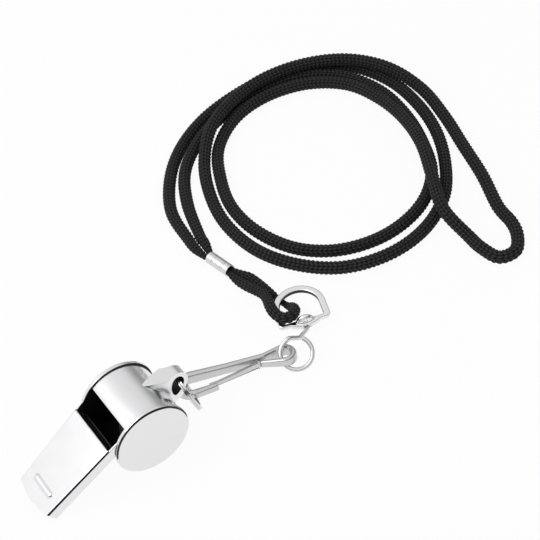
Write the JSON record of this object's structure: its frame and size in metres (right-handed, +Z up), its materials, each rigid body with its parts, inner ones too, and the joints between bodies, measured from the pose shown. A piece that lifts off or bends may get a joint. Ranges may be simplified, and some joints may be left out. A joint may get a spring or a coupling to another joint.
{
  "type": "sports whistle with lanyard",
  "caption": "Pea whistle of bent sheet steel with a clip on its ring, a swivel loop and a long knitted neck cord.",
  "frame": {"origin": "on the surface the whistle lies on, under the middle of the whistle and its ring", "axes": "+X from the mouthpiece to the ear and ring, +Y from the near side cap to the far one, +Z up"},
  "size_m": [0.1676, 0.1084, 0.021],
  "materials": {
    "whistle_steel": "bright nickel plate",
    "cap_steel": "bright nickel plate",
    "ear_metal": "bright nickel plate",
    "ring_steel": "polished",
    "clip_steel": "polished",
    "gate_steel": "polished spring strip",
    "swivel_wire": "polished wire",
    "loop_metal": "bright nickel plate",
    "ferrule_metal": "dull crimped sheet",
    "cork": "cork",
    "cord": "knitted cord"
  },
  "bodies": {
    "whistle": {"barrel_wrap": "whistle_steel", "mouthpiece_cover": "whistle_steel", "side_cap_near": "cap_steel", "side_cap_far": "cap_steel", "ear": "ear_metal"},
    "pea": {"pea": "cork"},
    "ring": {"split_ring": "ring_steel"},
    "clip": {"clip_hook": "clip_steel"},
    "gate": {"clip_gate": "gate_steel"},
    "swivel": {"swivel_eye": "swivel_wire"},
    "loop": {"d_ring": "loop_metal"},
    "neck_cord": {"ferrule": "ferrule_metal", "cord_bight": "cord", "lanyard_cord": "cord"}
  },
  "joints": [
    {"name": "pea_roll", "type": "hinge", "parent": "whistle", "child": "pea", "pos_m": [0.00731, 0, 0.0105], "axis": [0, 1, 0], "continuous": true},
    {"name": "ring_swing", "type": "hinge", "parent": "whistle", "child": "ring", "pos_m": [0.02094, 0, 0.01492], "axis": [0, 1, 0], "range_deg": [-60, 6]},
    {"name": "clip_swing", "type": "hinge", "parent": "ring", "child": "clip", "pos_m": [0.02438, 0.00349, 0.00437], "axis": [-0.073, 0.8124, 0.5785], "range_deg": [-25, 5]},
    {"name": "gate_press", "type": "hinge", "parent": "clip", "child": "gate", "pos_m": [0.04369, -0.0014, 0.0032], "axis": [-0.1066, -0.1877, -0.9764], "range_deg": [0, 12], "stiffness_Nm_per_rad": 0.004},
    {"name": "swivel_slide_round", "type": "hinge", "parent": "clip", "child": "swivel", "pos_m": [0.05344, -0.00463, 0.0031], "axis": [-0.2932, -0.515, 0.8055], "range_deg": [-15, 20]},
    {"name": "loop_swivel", "type": "hinge", "parent": "swivel", "child": "loop", "pos_m": [0.06154, 0.00307, 0.00277], "axis": [0.3256, 0.9455, 0], "continuous": true},
    {"name": "cord_turn", "type": "hinge", "parent": "loop", "child": "neck_cord", "pos_m": [0.0584, 0.009, 0.003], "axis": [0, 0, 1], "range_deg": [-4, 4]}
  ]
}
